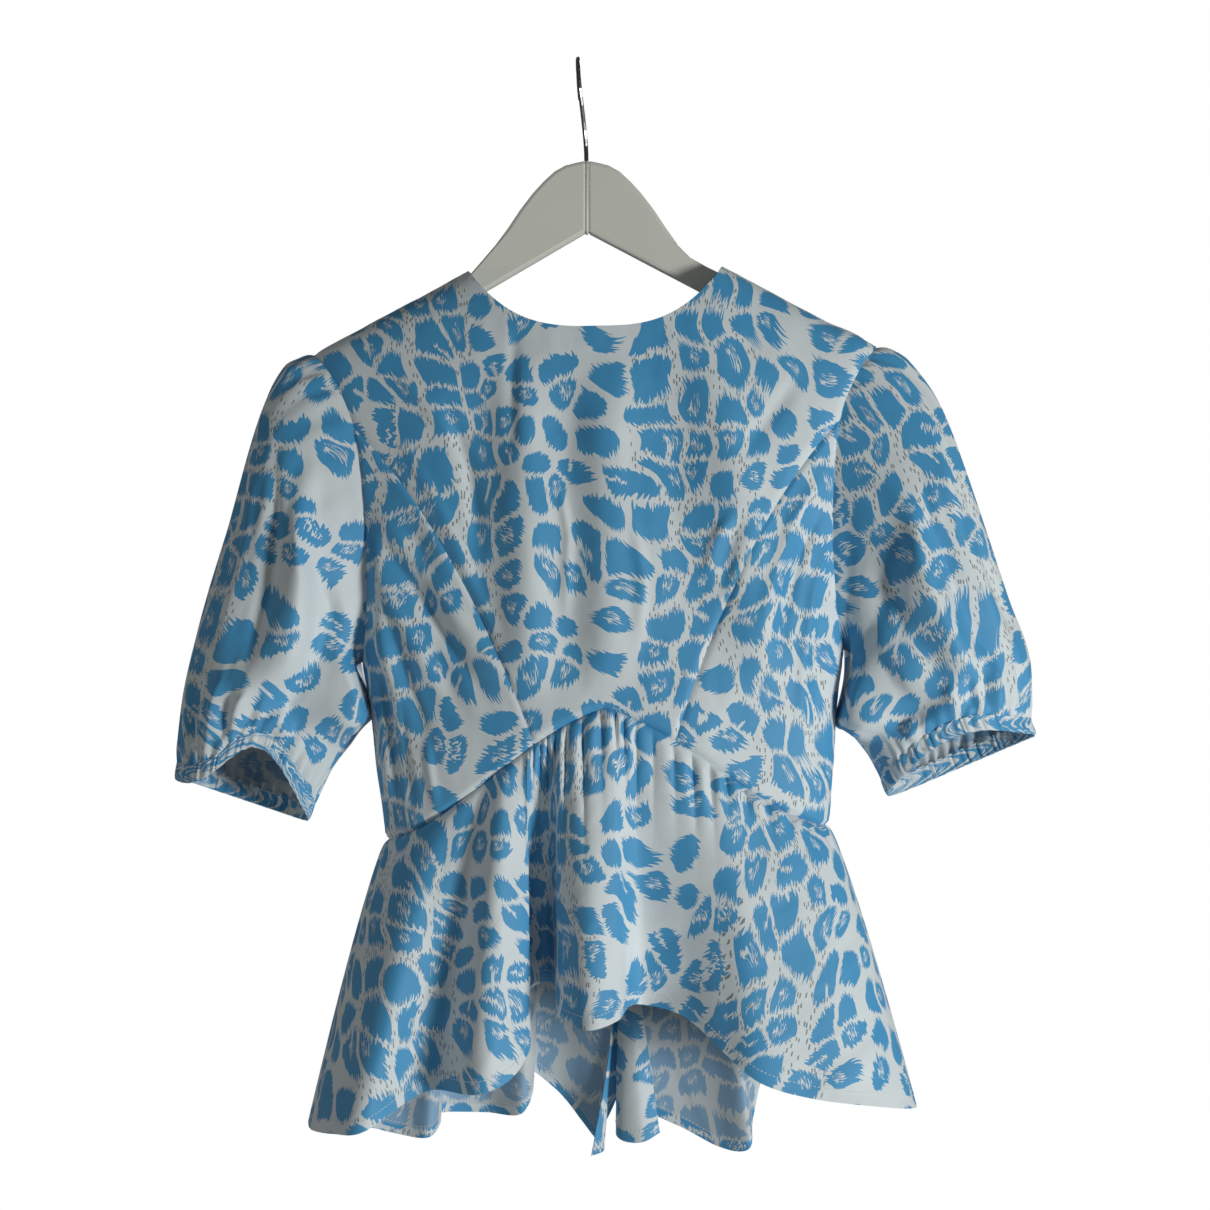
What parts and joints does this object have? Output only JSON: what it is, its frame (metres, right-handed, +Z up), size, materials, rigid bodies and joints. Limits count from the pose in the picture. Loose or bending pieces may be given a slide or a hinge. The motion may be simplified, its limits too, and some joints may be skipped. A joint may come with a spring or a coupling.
{
  "type": "top on a hanger",
  "caption": "Round-necked cotton top with curved front seams, short puff sleeves and a gathered peplum, hung on a wooden hanger with a wire hook.",
  "frame": {"origin": "under the top of the hook's loop, where a rail carries it", "axes": "+Z up along the hanging garment, -Y out of the garment's front, +X to the right as seen from the front"},
  "size_m": [0.6325, 0.2024, 0.8293],
  "materials": {
    "printed_cotton": "crisp plain weave, printed with blue animal spots on white",
    "button": "semi-gloss",
    "painted_wood": "pale satin paint",
    "steel_wire": "polished"
  },
  "bodies": {
    "root": {"front_centre": "printed_cotton", "front_side_left": "printed_cotton", "front_side_right": "printed_cotton", "back_left": "printed_cotton", "back_right": "printed_cotton", "peplum_front": "printed_cotton", "peplum_back_left": "printed_cotton", "peplum_back_right": "printed_cotton", "sleeve_left": "printed_cotton", "sleeve_right": "printed_cotton", "casing_left": "printed_cotton", "casing_right": "printed_cotton", "button_1": "button", "button_2": "button", "button_3": "button", "button_4": "button", "button_5": "button", "hanger_left": "painted_wood", "hanger_right": "painted_wood", "hook": "steel_wire"}
  },
  "joints": []
}
